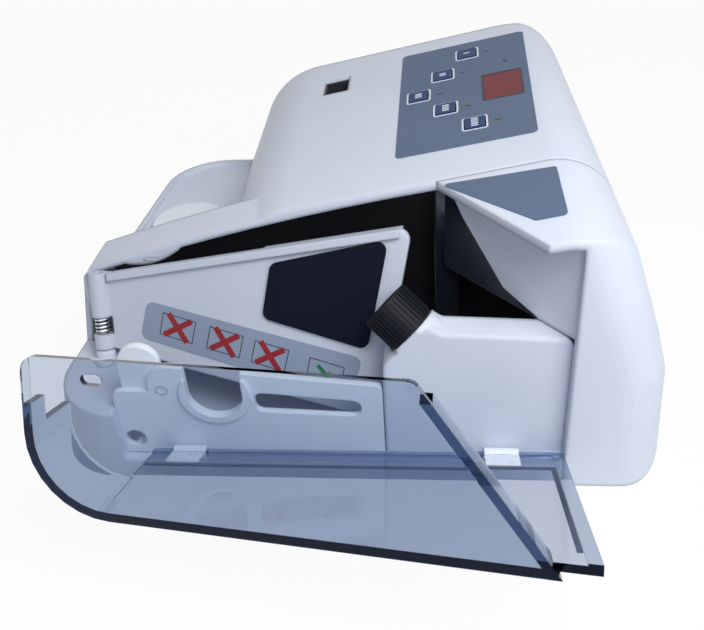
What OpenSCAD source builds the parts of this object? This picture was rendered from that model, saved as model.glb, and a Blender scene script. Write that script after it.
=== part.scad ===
// Portable banknote counter with a swing-open smoke cover, a sprung note paddle and a ribbed feed roller.
// Build frame: X runs from the low left end to the tall right end, Y from the cover side to the back.

/* [Body] */
// Length from the datum of the note bay to the tall right end
body_l = 224; // [212:1:250]
// Depth from the cover side to the back
body_d = 165; // [155:1:190]
// Reach of the left end beyond the datum of the note bay
left_out = 7.5; // [6:0.5:9]
// Depth of the base below the datum of the note bay
drop = 3.6; // [2:0.1:4]
// Height of the seam between base and upper housing
seam_h = 50; // [47:0.5:54]
// Wall thickness of the white mouldings
wall = 2.4; // [1.8:0.1:3]
// Plan radius of the left corners
left_r = 26; // [20:1:32]
// Plan radius of the right corners
right_r = 16; // [10:1:22]
// Lean of the right end wall's lower half in degrees
side_lean = 3; // [2:0.5:5]
// Lean of the right end wall's upper half in degrees
upper_lean = 18; // [14:0.5:20]
// Height where the two halves blend
knee_z = 45; // [40:1:50]
// Plan taper of both ends towards the back in degrees
taper = 5; // [3:0.5:6]
// Radius along the foot of the right end
heel_r = 12; // [6:1:14]
// Lean of the left end wall in degrees
left_lean = 11; // [8:0.5:12]

/* [Upper housing] */
// Height of the top face at the column, on the cover side
top_z = 102.3; // [99:0.5:108]
// Rise of the top face towards the right end in degrees
top_rise = 11.3; // [10:0.1:12.5]
// Rise of the top face towards the back in degrees
top_tilt = 4; // [3:0.5:5]
// Slope of the left flank in degrees
flank_slope = 66; // [62:1:70]
// Distance of the flank foot from the left end
flank_x = 57.5; // [55:0.5:60]
// Radius along the right top edge at the cover side
edge_r = 25; // [20:1:26]
// Radius along the right top edge at the back
back_r = 14; // [10:1:16]
// Radius along the left shoulder
shoulder_r = 34; // [26:1:38]

/* [Note bay] */
// Width of the right column
col_w = 37; // [33:1:41]
// Depth of the note bay from the cover side
bay_d = 64; // [62:1:72]
// Distance of the rim from the cover side
rim_y = 48; // [46:0.5:50]
// Height of the bay floor
floor_z = 8; // [6:0.5:9]
// Height of the front guard at its left end
guard_h = 50; // [46:1:54]

/* [Cover] */
// Thickness of the smoke acrylic
cover_t = 2.6; // [2:0.1:3]
// Angle of the open stop from closed, in degrees
cover_open = 65; // [58:1:75]
// Height of the cover hinge
hinge_z = 11; // [10.8:0.1:12]
// Radius of the cover hinge pins
hinge_pin_r = 1.5; // [1.2:0.1:1.7]
// Plan radius of the cover's left corner
cover_r = 25; // [21:1:27]
// Depth of the cover's top, which laps over the rim
cover_d = 54; // [52:0.5:56]

/* [Paddle] */
// Lean of the paddle hinge towards the back in degrees
lean = 20; // [18:0.5:22]
// Swing of the paddle towards the roller in degrees
swing = 8; // [7:0.5:9]
// Length of the paddle from its hinge
arm_l = 121; // [112:1:124]
// Thickness of the paddle
arm_t = 2.8; // [2.2:0.1:3.4]
// Radius of the paddle hinge pin
pin_r = 1.5; // [1.2:0.1:1.8]
// Turns of the paddle spring
spring_turns = 4; // [3:1:5]
// Wire radius of the paddle spring
wire_r = 0.4; // [0.3:0.05:0.45]

/* [Feed roller] */
// Radius of the ribbed roller
roller_r = 9.4; // [8.6:0.1:9.6]
// Length of the ribbed roller
roller_l = 13; // [11:0.5:15]
// Number of ribs round the roller
ribs = 36; // [24:1:44]
// Radius of the roller shaft
shaft_r = 1.5; // [1.2:0.1:2]

/* [Control panel] */
// Width of the panel across the slope
panel_w = 52; // [48:1:54]
// Length of the panel along the depth
panel_l = 86; // [82:1:90]
// Side of a square key
key_s = 7.6; // [7:0.1:8.4]
// Travel of a key
key_travel = 0.5; // [0.3:0.05:0.7]
// Thickness of the printed labels
label_t = 0.3; // [0.2:0.05:0.5]

/* [Feet and screws] */
// Height of the rubber feet
foot_h = 1.5; // [1:0.1:2.5]
// Radius of a rubber foot
foot_r = 6; // [4:0.5:7]
// Radius of a screw head
screw_r = 3; // [2.2:0.1:3.4]

/* [Hidden] */
$fn = 48;
fit = 0.05;
gap = 0.4;
big = 400;
base_z = foot_h - drop;
deck_z = seam_h - 2;
k_top = tan(top_rise);
k_side = tan(side_lean);
k_upper = tan(upper_lean);
k_taper = tan(taper);
knee_r = 190;
skin = 0.06;
k_flank = tan(flank_slope);
k_rim = 0.179;
rim_sag = 0.0006;
col_x = body_l - col_w;
rim_x = col_x - 45;
rim_left = left_wall(rim_y, seam_h + 12);
rim_r = 6;
tab_x = 23;
tab_l = 25;
tab_h = 3.4;
rim_end_z = top_z - k_top * (col_x - rim_x) + rim_y * sin(top_tilt) - 0.3;
eave_t = 3;
knee_x = body_l - knee_z * k_side;
edge_z = (top_z + skin + k_top * (knee_x + knee_z * k_upper - col_x)) / (1 + k_top * k_upper);
edge_x = knee_x - (edge_z - knee_z) * k_upper;
shoulder_x = (top_z - k_top * col_x - seam_h + k_flank * flank_x) / (k_flank - k_top);
low_z = seam_h - 20;
hinge_y = cover_t / 2;
clip_w = 12;
frame_w = 4;
frame_t = 0.7;
clip_x = [52, col_x - 22];
barrel_r = hinge_pin_r + 1.5;
sill_z = hinge_z - barrel_r - gap;
cover_x0 = 13.5;
cover_x1 = col_x - gap;
cover_z0 = top_z - 1.3;
cover_taper = 0.13;
cover_lip = 12;
cover_wall_d = 30;
cover_wall_z = 39;
corner_w = cover_x0 + cover_r - gap;
shelf_h = 30;
shelf_w = corner_w - 12;
shelf_d = 44;
roof_x = col_x - 11;
roof_t = 3;
k_cover = 0.22;
k_back = 0.18;
pivot = [14, 39, seam_h - 0.5];
hinge_top = 14;
hinge_low = -16;
knuckle_r = pin_r + 2.2;
boss_h = 10;
boss_lo = hinge_low - gap - boss_h;
spring_lo = -10;
spring_hi = -3.4;
coil_r = pin_r + 1.3;
pad_t = 1.2;
roller_q = -(pad_t + gap + roller_r);
roller_at = [arm_l + 1.6, 0.1];
roller_turn = 42.6;
guard_y = hinge_y + barrel_r + gap;
guard_t = 2.4;
block_y = guard_y;
block_d = 11;
block_x = pivot.x + roller_at.x * cos(swing) + roller_q * sin(swing) - 9.9;
collar_l = 10;
bush_l = 6;
bush_t = 1.5;
panel_x = col_x - 60;
panel_v = bay_d + 10.7;
board_w = -12;
board_t = 1.6;
switch_h = 0.9;
key_proud = 0.9;
light_off = 8.6;
light_r = 1;
window_t = 1.6;
module_size = [14, 18];
jack_at = [(shoulder_x - panel_x) * 0.518, body_d - 18];
jack_in = [9.5, 11.5];
cap_at = [33.6, 105.4];
cap_r = 17.4;
lip = 2;
cap_t = 1.6;
cap_edge = 1.2;
spigot_r = 4;
liner_t = 1.6;
left_reach = (left_out - left_r * (k_taper + 1 / cos(taper) - 1)) / cos(left_lean) - base_z * tan(left_lean);
origin_x = (body_l - wall_slopes(k_side) * [right_r, base_z + heel_r] - left_reach) / 2;
origin_y = (body_d - (cover_edge_z() - hinge_z) * sin(cover_open) + hinge_y * (1 - cos(cover_open))) / 2;
keys = [for (k = [[28, 74.8], [17.7, 59.3], [7.9, 44.8], [18.9, 30.1], [29.8, 14.6]]) k + [0, panel_v]];
window = [41.3, panel_v + 41.3];
window_size = [14.5, 20];
feet = [[20, 22], [body_l - 26, 22], [24, body_d - 24], [body_l - 42, body_d - 24]];
screws = [[36, 40], [body_l - 50, body_d - 40], [36, body_d - 40]];

// Height of the closed cover's front top edge at its right end
function cover_edge_z() = cover_z(roof_x - gap) / cos(atan(k_back));
// Height of the rim along the note bay
function rim_z(x) = rim_end_z - k_rim * (rim_x - x) - rim_sag * pow(rim_x - x, 2);
// Points along the rim from its right end to x0, lowered by d
function rim_line(d, x0) = [for (i = [0:8]) let (x = rim_x + (x0 - rim_x) * i / 8) [x, rim_z(x) - d]];
// Place of the left end wall at a distance from the cover side and a height
function left_wall(y, z) = (k_taper * y - left_out) / cos(left_lean) + z * tan(left_lean);
// Height of the closed cover's front sheet
function cover_z(x) = cover_z0 - k_cover * (col_x - x);
// Place of the cover's slanted right edge, which follows the roof
function slant_x(y) = roof_x - gap - (roof_x - rim_x) / rim_y * y;
// Plan of the closed cover, up to a distance from the cover side
function cover_plan(back) = [[cover_x0, 0], [roof_x - gap, 0], [slant_x(back), back],
    [cover_x0 + cover_taper * back, back]];
// Height just below the roof's front edge
function roof_under(x) = top_z - k_top * (col_x - x) - roof_t - 6 * gap;

function unit(v) = v / norm(v);
// Points of the arc that rounds corner p between its neighbours a and b
function fillet_arc(a, p, b, r, n) =
    let (u = unit(a - p), v = unit(b - p), half = acos(u * v) / 2, t = r / tan(half))
    let (c = p + unit(u + v) * r / sin(half), s = p + u * t - c, e = p + v * t - c)
    let (a0 = atan2(s.y, s.x), d = atan2(e.y, e.x) - a0, turn = d > 180 ? d - 360 : d < -180 ? d + 360 : d)
    [for (i = [0:n]) c + r * [cos(a0 + turn * i / n), sin(a0 + turn * i / n)]];
// Outline with its corners rounded to the radii in rad
function rounded(pts, rad, n = 8) =
    let (c = len(pts))
    [for (i = [0:c - 1]) each rad[i] < 0.01 ? [pts[i]]
        : fillet_arc(pts[(i + c - 1) % c], pts[i], pts[(i + 1) % c], rad[i], n)];
// Counter-clockwise outline moved inwards by d
function inset(pts, d) =
    let (c = len(pts))
    [for (i = [0:c - 1])
        let (e = unit(pts[i] - pts[(i + c - 1) % c]), f = unit(pts[(i + 1) % c] - pts[i]))
        let (m = [-e.y, e.x], n = [-f.y, f.x])
        pts[i] + (m + n) * d / (1 + m * n)];
function less(rad, d) = [for (r = rad) max(0, r - d)];

upper_pts = [[body_l + 20, low_z], [body_l + 20, top_z + k_top * (body_l + 20 - col_x)],
    [shoulder_x, top_z - k_top * (col_x - shoulder_x)], [flank_x - (seam_h - low_z) / k_flank, low_z]];
upper_rad = [0, 0, shoulder_r, 0];
plan_pts = [[-left_out, 0], [body_l, 0], [body_l, body_d], [k_taper * body_d - left_out, body_d]];
right_rad = [0, right_r, right_r + 6, 0];
left_rad = [left_r, 0, 0, left_r];

// Moves the build frame to the centre of the part's footprint
module place() translate([-origin_x, -origin_y, drop]) children();
// Prism along Y of an outline in X and Z
module prism_y(pts, y0, y1) translate([0, y1, 0]) rotate([90, 0, 0]) linear_extrude(y1 - y0) polygon(pts);
// Prism along Z of an outline in X and Y
module prism_z(pts, z0, z1) translate([0, 0, z0]) linear_extrude(z1 - z0) polygon(pts);
module block_to(a, b) translate(a) cube(b - a);
// Outline of the right end, moved back along the slope of the top face
function end_pts(back) = [for (q = [[-60, -60], [body_l + 60 * k_side, -60], [knee_x, knee_z], [edge_x, edge_z],
    [-60, edge_z - k_top * (edge_x + 60)]]) q - [1, k_top] * k_taper * back];
// Slice of the right end's form at a distance from the cover side, moved inwards by o
module end_slice(back, o) {
    r = edge_r + (back_r - edge_r) * back / body_d;
    prism_y(rounded(inset(end_pts(back), o), less([0, 0, knee_r, r, 0], o), 10), back, back + 0.01);
}
// Curved and tapering form of the right end under the top face, moved inwards by o
module end_form(o) rotate([top_tilt, 0, 0]) hull() {
    end_slice(-30, o);
    end_slice(body_d + 30, o);
}
// Outer form of the upper mouldings, moved inwards by o
module upper_form(o) intersection() {
    rotate([top_tilt, 0, 0]) prism_y(rounded(inset(upper_pts, o), less(upper_rad, o), 10), -30, body_d + 30);
    end_form(o);
}
// Slopes of a half of the right end wall along Y and Z
function wall_slopes(k) = let (t = k_taper * (1 + k * k_top))
    [t * cos(top_tilt) - k * sin(top_tilt), t * sin(top_tilt) + k * cos(top_tilt)];
// Leaning prism with the right plan corners of one half of the end wall, moved inwards by o
module end_corners(x0, k, o) let (m = wall_slopes(k), c = cos(atan(m.y)))
    rotate([0, -atan(m.y), 0]) prism_z(rounded(inset([[-big, 0], [(x0 + skin) * c, 0],
        [(x0 + skin - m.x * body_d) * c, body_d], [-big, body_d]], o), less(right_rad, o)), -big, big);
// Plan form of the body between two heights with its leaning ends, moved inwards by o
module plan_form(o, z0, z1) intersection() {
    block_to([-big, -1, z0], [big, body_d + 1, z1]);
    end_corners(body_l, k_side, o);
    end_corners(knee_x + knee_z * k_upper, k_upper, o);
    rotate([0, left_lean, 0]) prism_z(rounded(inset(plan_pts, o) + [[0, 0], [big, 0], [big, 0], [0, 0]],
        less(left_rad, o)), -big, big);
}
// Lower form of the right end with its rounded heel, moved inwards by o
module heel_form(o) let (m = wall_slopes(k_side)) intersection() {
    end_form(o);
    multmatrix([[1, -m.x, 0, 0], [0, 1, 0, 0], [0, 0, 1, 0]])
        prism_y(rounded(inset([[-60, base_z], [body_l + skin - base_z * m.y, base_z],
            [body_l + skin - 200 * m.y, 200], [-60, 200]], o), less([0, heel_r, 0, 0], o)), -30, body_d + 30);
}
// Frame of the top face: X up the slope, Y to the back, Z out of the face
module on_top() rotate([top_tilt, 0, 0])
    translate([panel_x, 0, top_z - k_top * (col_x - panel_x)]) rotate([0, -top_rise, 0]) children();
// Holes through the top face for the keys, the lights and the display window
module panel_holes() {
    for (k = keys) translate([k.x, k.y, 0]) {
        cube([key_s + 2 * gap, key_s + 2 * gap, 30], center = true);
        translate([light_off, 0, 0]) cylinder(r = light_r + fit, h = 30, center = true);
    }
    translate([window.x, window.y, 0])
        cube([window_size.x + 2 * fit, window_size.y + 2 * fit, 30], center = true);
}
// Frame of the paddle hinge: Z along the pin
module on_hinge() translate(pivot) rotate([-lean, 0, 0]) children();
// Frame of the paddle at rest: X along the arm, Y to its back, Z along the pin
module on_paddle() on_hinge() rotate([0, 0, -swing]) children();
// Frame of the feed roller: Z along its shaft from its lower face outwards
module on_roller() on_paddle() translate([roller_at.x, roller_q, roller_at.y])
    rotate([0, -roller_turn - 4.6, 0]) children();
// Round tab that hangs from the rim near the hinge
module rim_tab() prism_y([for (i = [0:12]) let (x = tab_x + tab_l * i / 12)
    [x, rim_z(x) - eave_t - tab_h * sin(15 * i) + (i % 12 == 0 ? 1 : 0)]], rim_y, rim_y + wall);
// Hollow of the note bay under the rim
module bay_form() prism_y(rounded(concat([[left_wall(rim_y, 0) + wall, 0], [col_x - 2, 0],
    [col_x - 2, rim_z(rim_x) - eave_t]], rim_line(eave_t, rim_left + wall)),
    concat([for (i = [0:10]) 0], [rim_r - wall])), -30, bay_d);

module base_tray() color("whitesmoke") place() {
    difference() {
        intersection() {
            plan_form(0, base_z, seam_h);
            heel_form(0);
        }
        // Rear pocket below the upper housing
        intersection() {
            plan_form(wall, base_z + wall, big);
            heel_form(wall);
            block_to([-big, bay_d + wall, -drop], [body_l, body_d, big]);
            union() {
                block_to([flank_x + 8, 0, -drop], [body_l, body_d, big]);
                block_to([-big, 0, -drop], [body_l, body_d, deck_z - lip - wall]);
            }
        }
        // Sunken deck with a lip, left of the flank
        difference() {
            union() {
                intersection() {
                    plan_form(wall, deck_z - lip, big);
                    block_to([-big, bay_d + wall + 2, 0], [flank_x + 2, body_d, big]);
                }
                block_to([-big, bay_d + wall, deck_z], [flank_x + 2, body_d + 1, big]);
            }
            upper_form(0);
        }
        // Note bay, which leaves the corner shelf under the paddle hinge
        difference() {
            intersection() {
                plan_form(wall, floor_z, big);
                block_to([-big, -1, 0], [col_x, bay_d, big]);
            }
            block_to([-big, -1, 0], [shelf_w, shelf_d, shelf_h]);
        }
        block_to([-big, -1, shelf_h], [corner_w, shelf_d, big]);
        // Low sill under the cover
        block_to([shelf_w, -1, sill_z], [col_x, guard_y, big]);
        // Bore for the hinge boss
        on_hinge() translate([0, 0, boss_lo]) cylinder(r = knuckle_r + fit, h = big);
        // Room for the right column
        block_to([col_x, -1, -drop], [body_l + 1, rim_y, big]);
        // Cap spigot, feet and screws
        translate([cap_at.x, cap_at.y, base_z + wall]) cylinder(r = spigot_r + fit, h = big);
        for (p = screws) translate([p.x, p.y, -drop]) {
            cylinder(r = screw_r + fit, h = foot_h + 1.2);
            cylinder(r = screw_r / 2 + fit, h = foot_h + wall + 8);
        }
    }
    // Screw bosses
    for (p = screws) translate([p.x, p.y, base_z + wall]) difference() {
        cylinder(r = screw_r + 1, h = floor_z);
        translate([0, 0, -1]) cylinder(r = screw_r / 2 + fit, h = big);
    }
}

module rear_housing() color("white") place() difference() {
    union() {
        intersection() {
            upper_form(0);
            plan_form(0, seam_h, big);
            block_to([0, rim_y, 0], [body_l, body_d, big]);
        }
        // Rim that carries on past the flank to the left end
        intersection() {
            prism_y(rounded(concat([[left_wall(rim_y, seam_h) - 1, seam_h], [rim_x, seam_h]],
                rim_line(0, rim_left - 1)), concat([for (i = [0:9]) 0], [rim_r])), rim_y, bay_d + wall);
            plan_form(0, seam_h, big);
        }
    }
    // Hollow behind the note bay
    intersection() {
        upper_form(wall);
        plan_form(wall, seam_h - 1, big);
        block_to([0, bay_d + wall, 0], [body_l, body_d, big]);
    }
    // Hollow above the column seam
    intersection() {
        upper_form(wall);
        plan_form(wall, seam_h - 1, big);
        block_to([col_x - 2, rim_y - 1, 0], [body_l, bay_d + wall + 1, big]);
    }
    intersection() {
        bay_form();
        block_to([0, -1, 0], [col_x, bay_d, big]);
        difference() {
            block_to([0, -big, 0], [body_l, big, big]);
            rim_tab();
        }
    }
    on_top() {
        panel_holes();
        translate([jack_at.x, jack_at.y, 0]) cube([jack_in.x + 2, jack_in.y + 2, 60], center = true);
    }
}

// Plan outline of the column below its roof
column_pts = [[rim_x + 3, rim_y], [col_x, cover_t + frame_t + gap], [col_x, 0], [body_l, 0], [body_l, rim_y]];
// Plan outline of the roof with its slanted edge
roof_pts = [[rim_x, rim_y], [roof_x, 0], [body_l, 0], [body_l, rim_y]];
column_foot_z = 62;

module front_shell() color("white") place() difference() {
    union() {
        intersection() {
            upper_form(0);
            plan_form(0, seam_h, big);
            prism_z(column_pts, 0, big);
        }
        intersection() {
            heel_form(0);
            plan_form(0, base_z, seam_h);
            block_to([col_x, 0, -drop], [body_l, rim_y, big]);
        }
        intersection() {
            difference() {
                upper_form(0);
                upper_form(roof_t);
            }
            plan_form(0, seam_h, big);
            prism_z(roof_pts, 0, big);
        }
    }
    // Hollow of the column
    intersection() {
        upper_form(wall);
        plan_form(wall, seam_h - 1, big);
        prism_z([[rim_x + 3 + 2 * wall, rim_y + 1], [col_x + wall, wall],
            [body_l, wall], [body_l, rim_y + 1]], 0, big);
    }
    intersection() {
        heel_form(wall);
        plan_form(wall, base_z + wall, seam_h + 1);
        block_to([col_x + wall, wall, -drop], [body_l, rim_y + 1, big]);
    }
    // Room for the roller block under the slanted wall
    block_to([0, -1, 0], [col_x, rim_y + 1, column_foot_z]);
}

block_pts = [[block_x, floor_z], [col_x, floor_z], [col_x, 61], [block_x + 20, 63],
    [block_x + 15.6, 66], [block_x + 1.5, 51.5], [block_x, 49]];

module roller_block() color("white") place() difference() {
    union() {
        difference() {
            prism_y(rounded(block_pts, [0, 0, 3, 4, 3, 2, 2], 6), block_y, block_y + block_d);
            // Open back behind the front wall
            prism_y(inset(block_pts, wall), block_y + wall, big);
        }
        // Collar behind the roller
        intersection() {
            on_roller() translate([0, 0, -collar_l]) cylinder(r = roller_r + 0.4, h = collar_l - gap);
            block_to([0, block_y, 0], [body_l, big, big]);
        }
    }
    // Room for the roller, and the seat of its bush
    on_roller() translate([0, 0, -gap]) cylinder(r = roller_r + 0.6, h = big);
    on_roller() translate([0, 0, -bush_l - gap]) cylinder(r = shaft_r + bush_t, h = 60);
}

guard_pts = [[shelf_w, floor_z], [block_x - gap, floor_z], [block_x - gap, guard_h - 9],
    [corner_w + 2, guard_h], [corner_w + 2, shelf_h + 8], [shelf_w, shelf_h + 8]];
post_x = shelf_w + 3.6;
post_w = 15;
post_h = 56;
post_y = guard_y + 2.2;
post_t = 2.8;
post_pts = [[post_x, floor_z], [post_x + post_w, floor_z], [post_x + post_w, post_h], [post_x, post_h]];
slot_pts = [[block_x - 46, 29], [block_x - 8, 27], [block_x - 8, 34], [block_x - 46, 38]];
notch_x = corner_w + 26;
notch_z = 37;
notch_r = 10;
notch_lip = 1.2;
peep_r = 4;
peep_x = shelf_w + peep_r + 0.8;
peep_z = 15;

module front_guard() color("whitesmoke") place() difference() {
    union() {
        prism_y(rounded(guard_pts, [0, 0, 2, 8, 1, 3], 6), guard_y, guard_y + guard_t);
        // Round-topped post beside the shelf
        prism_y(rounded(post_pts, [0, 0, post_w / 2 - 0.1, post_w / 2 - 0.1], 10), post_y, post_y + post_t);
        // Raised lip round the finger notch
        intersection() {
            translate([notch_x, guard_y - notch_lip, notch_z]) rotate([-90, 0, 0])
                cylinder(r = notch_r + 3, h = notch_lip + guard_t);
            block_to([0, 0, 0], [body_l, big, guard_h - 6]);
        }
    }
    translate([notch_x, 0, notch_z]) rotate([-90, 0, 0]) cylinder(r = notch_r, h = 20);
    block_to([notch_x - notch_r, 0, notch_z], [notch_x + notch_r, 20, big]);
    prism_y(rounded(slot_pts, [3, 3, 3, 3], 4), 0, 20);
    translate([peep_x, 0, peep_z]) rotate([-90, 0, 0]) cylinder(r = peep_r, h = 20);
}

module bay_liner() color("#15161a") place() intersection() {
    block_to([rim_left + wall + 2, bay_d - liner_t, floor_z], [rim_x, bay_d, big]);
    bay_form();
}

module deck_cap() color("whitesmoke") place() translate([cap_at.x, cap_at.y, deck_z - lip]) {
    cylinder(r = cap_r, h = cap_t);
    translate([0, 0, cap_t]) cylinder(r1 = cap_r, r2 = cap_r - cap_edge, h = cap_edge);
    translate([0, 0, -wall - 1]) cylinder(r = spigot_r, h = wall + 1);
}

module control_label() color("#8792a6") place() on_top() difference() {
    translate([0, panel_v, 0]) prism_z(rounded([[0, 0], [panel_w, 0], [panel_w, panel_l], [0, panel_l]],
        [2, 2, 2, 2], 4), 0, label_t);
    panel_holes();
}

module corner_label() color("#8792a6") place() on_top()
    prism_z(rounded([[47, 21], [57, 21.2], [56, 49.8], [17, 51.5]], [1, 2, 1, 1], 4), 0, label_t);

module display_window() color("#7a1015") place() on_top()
    translate([window.x - window_size.x / 2, window.y - window_size.y / 2, -window_t])
        cube([window_size.x, window_size.y, window_t + label_t]);

module display_module() color("#202225") place() on_top()
    translate([window.x - module_size.x / 2, window.y - module_size.y / 2, board_w + board_t])
        cube([module_size.x, module_size.y, -window_t - board_w - board_t]);

module circuit_board() color("#1f5b38") place() on_top() {
    translate([2, panel_v + 3, board_w]) cube([panel_w - 4, panel_l - 6, board_t]);
    for (k = keys) translate([k.x - 3, k.y - 3, board_w + board_t]) cube([6, 6, switch_h]);
    for (x = [6, panel_w - 6], y = [panel_v + 6, panel_v + panel_l - 6])
        translate([x, y, board_w + board_t]) cylinder(r = 2.4, h = -wall - board_w - board_t);
}

module indicator_lights() color("#3c4250") place() on_top()
    for (k = keys) translate([k.x + light_off, k.y, -wall]) cylinder(r = light_r, h = wall + label_t + 0.2);

module data_socket() color("#2a2c30") place() on_top() translate([jack_at.x, jack_at.y, 0]) difference() {
    union() {
        translate([0, 0, -8.4]) cube([jack_in.x + 2 - 2 * fit, jack_in.y + 2 - 2 * fit, 14], center = true);
        translate([0, 0, -wall - 4]) cube([jack_in.x + 5, jack_in.y + 7, 8], center = true);
    }
    translate([0, 0, -3]) cube([jack_in.x, jack_in.y, 20], center = true);
}

sensor_w = 10;
sensor_at = [rim_x - 1, bay_d - 14];
sensor_pts = [for (c = [[0, 0], [1, 0], [1, 1], [0, 1]]) sensor_at + sensor_w * c];

module sensor_post() color("#2b2a33") place()
    prism_z(rounded(sensor_pts, [1, 3, 1, 1], 4), floor_z, rim_z(rim_x) - eave_t - 1);

module key(i) color("#3d5d96") place() on_top() translate([keys[i].x, keys[i].y, 0]) {
    translate([0, 0, (key_proud - wall) / 2]) cube([key_s, key_s, key_proud + wall], center = true);
    translate([0, 0, board_w + board_t + switch_h + key_travel + 0.1])
        cylinder(r = 2, h = -wall - board_w - board_t - switch_h - key_travel);
}
module key_1() key(0);
module key_2() key(1);
module key_3() key(2);
module key_4() key(3);
module key_5() key(4);

module hinge_clips() color("white") place() for (x = clip_x) translate([x, 0, 0]) difference() {
    union() {
        translate([-clip_w / 2, hinge_y, hinge_z]) rotate([0, 90, 0]) cylinder(r = barrel_r, h = clip_w);
        translate([-clip_w / 2, hinge_y - barrel_r, sill_z]) cube([clip_w, 2 * barrel_r, hinge_z - sill_z]);
    }
    translate([-clip_w, hinge_y, hinge_z]) rotate([0, 90, 0]) cylinder(r = hinge_pin_r + fit, h = 2 * clip_w);
}

// Turns the closed cover to its open stop
module opened() translate([0, hinge_y, hinge_z]) rotate([cover_open, 0, 0])
    translate([0, -hinge_y, -hinge_z]) children();

cover_rad = [cover_r, 0, 4, 6];
// Front sheet, which steps down under the roof at its right end
sheet_x = slant_x(cover_t);
sheet_pts = [[corner_w + gap, hinge_z], [cover_x1, hinge_z], [cover_x1, roof_under(cover_x1)],
    [sheet_x, roof_under(sheet_x)], [sheet_x, cover_z(sheet_x)],
    [corner_w + gap, cover_z(corner_w + gap)]];

// Closed cover's form below its sloping top up to a distance from the cover side, moved inwards by o
module cover_form(o, back) intersection() {
    prism_z(rounded(inset(cover_plan(back), o), less(cover_rad, o)), 0, big);
    cover_slope(-big, -o);
}
// Slab between two heights below the closed cover's top face
module cover_slope(low, high) rotate([atan(k_back), 0, 0])
    prism_y([[0, cover_z(0) + low], [body_l, cover_z(body_l) + low],
        [body_l, cover_z(body_l) + high], [0, cover_z(0) + high]], -40, 100);

module cover() color("#5a6b85", 0.45) place() opened() difference() {
    union() {
        intersection() {
            difference() {
                cover_form(0, cover_d);
                cover_form(cover_t, cover_d + 20);
            }
            union() {
                cover_slope(-cover_t - gap, 1);
                // Skirt, cut short at the paddle hinge
                intersection() {
                    cover_slope(-cover_lip, 1);
                    union() {
                        block_to([0, -1, 0], [body_l, pivot.y - 2 * gap, big]);
                        block_to([corner_w, -1, 0], [body_l, rim_y - gap, big]);
                    }
                }
                block_to([0, -1, cover_wall_z], [corner_w + gap + 1, cover_wall_d - gap, big]);
            }
        }
        prism_y(sheet_pts, 0, cover_t);
        translate([corner_w + gap, hinge_y, hinge_z]) rotate([0, 90, 0])
            cylinder(r = cover_t / 2, h = cover_x1 - corner_w - gap);
        // Raised frame along the hinge and the right end, on the inner face
        difference() {
            prism_y(sheet_pts, cover_t - 0.01, cover_t + frame_t);
            block_to([0, 0, hinge_z + frame_w], [cover_x1 - frame_w, cover_d, big]);
        }
    }
    // Notches for the clips, spanned by the hinge pins
    for (x = clip_x) translate([x, hinge_y, hinge_z]) difference() {
        cube([clip_w + 2 * gap, 12, 2 * (barrel_r + gap)], center = true);
        rotate([0, 90, 0]) cylinder(r = hinge_pin_r, h = 2 * clip_w, center = true);
    }
    // Latch slot near the left end
    prism_z(rounded([[40, 46], [47, 46], [47, 49.5], [40, 49.5]], [1.7, 1.7, 1.7, 1.7], 6), 40, big);
}

module hinge_boss() color("whitesmoke") place() on_hinge() translate([0, 0, boss_lo]) difference() {
    cylinder(r = knuckle_r, h = boss_h);
    translate([0, 0, -1]) cylinder(r = pin_r + fit, h = boss_h + 2);
}

module paddle_pin() color("silver") place() on_hinge()
    translate([0, 0, boss_lo]) cylinder(r = pin_r, h = hinge_top - boss_lo - 1);

paddle_pts = [[knuckle_r + 0.6, hinge_low], [arm_l - 14, -38], [arm_l, 33.5], [knuckle_r + 0.6, hinge_top]];
pad_pts = [[65.3, -1], [104.4, -11.4], [112.9, 29], [69.6, 19.4]];
label_pts = [[15.6, -11], [97, -32], [102.5, -15], [19.6, 3.6]];
fold_x = 66;
fold_h = 3;
fold_end = arm_l - 4;
roll_t = 1.8;
// Height of the paddle's top edge along the arm
function paddle_top(x) =
    hinge_top + (paddle_pts[2].y - hinge_top) * (x - paddle_pts[3].x) / (arm_l - paddle_pts[3].x);

module paddle() color("white") place() on_paddle() difference() {
    union() {
        prism_y(rounded(paddle_pts, [2, 5, 4, 2], 6), 0, arm_t);
        // Rolled top edge towards the notes
        prism_y([[paddle_pts[3].x, paddle_top(0) - fold_h + 0.6], [fold_end, paddle_top(fold_end) - fold_h],
            [fold_end, paddle_top(fold_end)], [paddle_pts[3].x, hinge_top]], -roll_t, 0.01);
        // Folded top edge, clear of the rim
        prism_y([[fold_x, paddle_top(fold_x)], [fold_x, paddle_top(fold_x) - fold_h],
            [fold_end, paddle_top(fold_end) - fold_h], [fold_end, paddle_top(fold_end)]],
            arm_t - 0.01, arm_t + fold_h);
        for (k = [[spring_hi + 0.2, hinge_top], [hinge_low, spring_lo - 0.2]]) translate([0, 0, k[0]]) {
            cylinder(r = knuckle_r, h = k[1] - k[0]);
            cube([knuckle_r + 4, arm_t, k[1] - k[0]]);
        }
    }
    translate([0, 0, -50]) cylinder(r = pin_r + fit, h = 100);
}

module paddle_pad() color("#14151c") place() on_paddle() prism_y(rounded(pad_pts, [3, 3, 3, 3], 6), -pad_t, 0);

module paddle_label() color("#c4c7cf") place() on_paddle()
    prism_y(rounded(label_pts, [3, 3, 3, 3], 5), -label_t, 0);

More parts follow.
